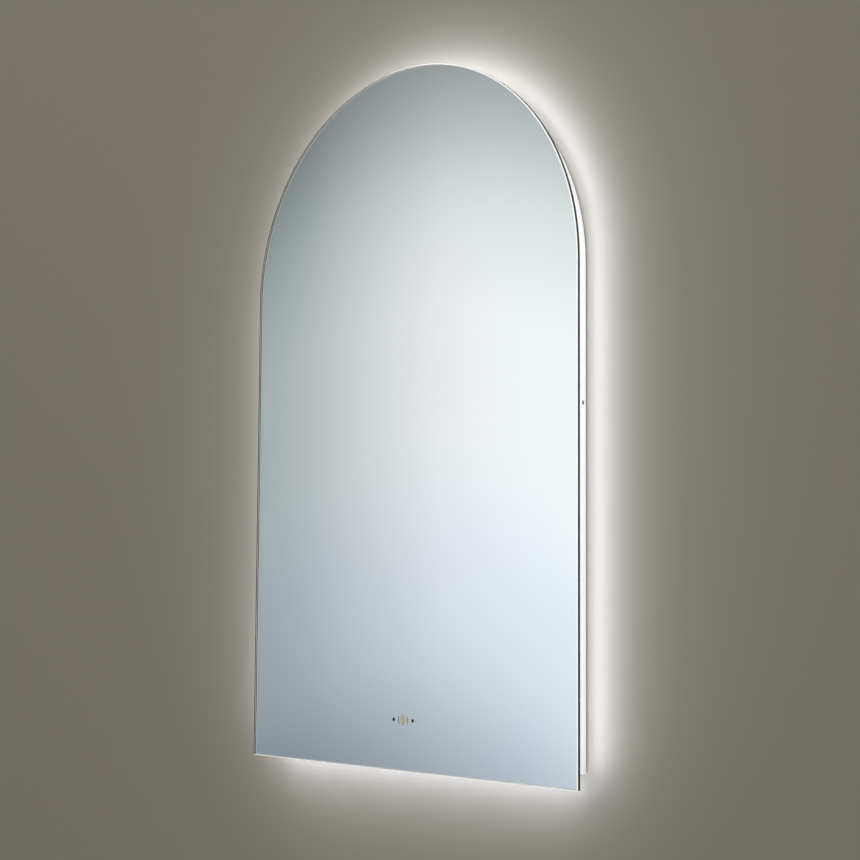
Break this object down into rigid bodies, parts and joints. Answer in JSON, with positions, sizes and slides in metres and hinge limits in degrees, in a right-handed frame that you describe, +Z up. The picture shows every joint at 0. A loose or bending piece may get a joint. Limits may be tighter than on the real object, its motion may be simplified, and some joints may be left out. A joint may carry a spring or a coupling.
{
  "type": "lighted bathroom mirror",
  "caption": "Arched frameless wall mirror with a backlit edge, touch points, a heated pad and a hook-on wall rail.",
  "frame": {"origin": "middle of the wall rail's two fixing holes, on the wall's surface", "axes": "+X across the mirror to the right seen from the room, +Y into the wall, +Z up"},
  "size_m": [0.5, 0.035, 0.8],
  "materials": {
    "clear_glass": "polished float glass",
    "silvering": "silvered front, grey backing paint behind",
    "dark_window": "smoked",
    "foam_tape": "foam",
    "white_frame": "white powder coat",
    "zinc_steel": "zinc plated",
    "opal_plastic": "opal",
    "strip_white": "white solder mask",
    "lamp_chip": "phosphor",
    "bar_aluminium": "mill finish",
    "black_rubber": "matt",
    "box_plastic": "fine texture",
    "driver_case": "moulded",
    "terminal_plastic": "moulded",
    "black_nylon": "moulded",
    "circuit_board": "solder mask",
    "heater_film": "amber film",
    "lead_jacket": "smooth",
    "clip_nylon": "moulded"
  },
  "bodies": {
    "wall_bracket": {"wall_rail": "bar_aluminium"},
    "mirror_unit": {"mirror_glass": "clear_glass", "mirror_silvering": "silvering", "sensor_windows": "dark_window", "frame_tape": "foam_tape", "frame_arch": "white_frame", "frame_bottom": "white_frame", "corner_plates": "zinc_steel", "diffuser_arch": "opal_plastic", "diffuser_bottom": "opal_plastic", "led_strip_arch": "strip_white", "led_strip_bottom": "strip_white", "led_chips_arch": "lamp_chip", "led_chips_bottom": "lamp_chip", "hanging_bar": "bar_aluminium", "lower_bar": "bar_aluminium", "rear_bumpers": "black_rubber", "driver_box_base": "box_plastic", "driver_box_lid": "box_plastic", "driver_box_tape": "foam_tape", "led_driver": "driver_case", "terminal_block": "terminal_plastic", "mains_gland": "black_nylon", "gland_locknut": "black_nylon", "touch_sensor_housing": "box_plastic", "touch_sensor_board": "circuit_board", "demister_pad": "heater_film", "demister_tab": "black_nylon", "demister_lead": "lead_jacket", "led_lead": "lead_jacket", "sensor_lead": "lead_jacket", "lead_grommet": "black_rubber", "lead_clips": "clip_nylon"}
  },
  "joints": [
    {"name": "lift_off", "type": "slide", "parent": "wall_bracket", "child": "mirror_unit", "axis": [0, 0, 1], "range_m": [0, 0.012]}
  ]
}
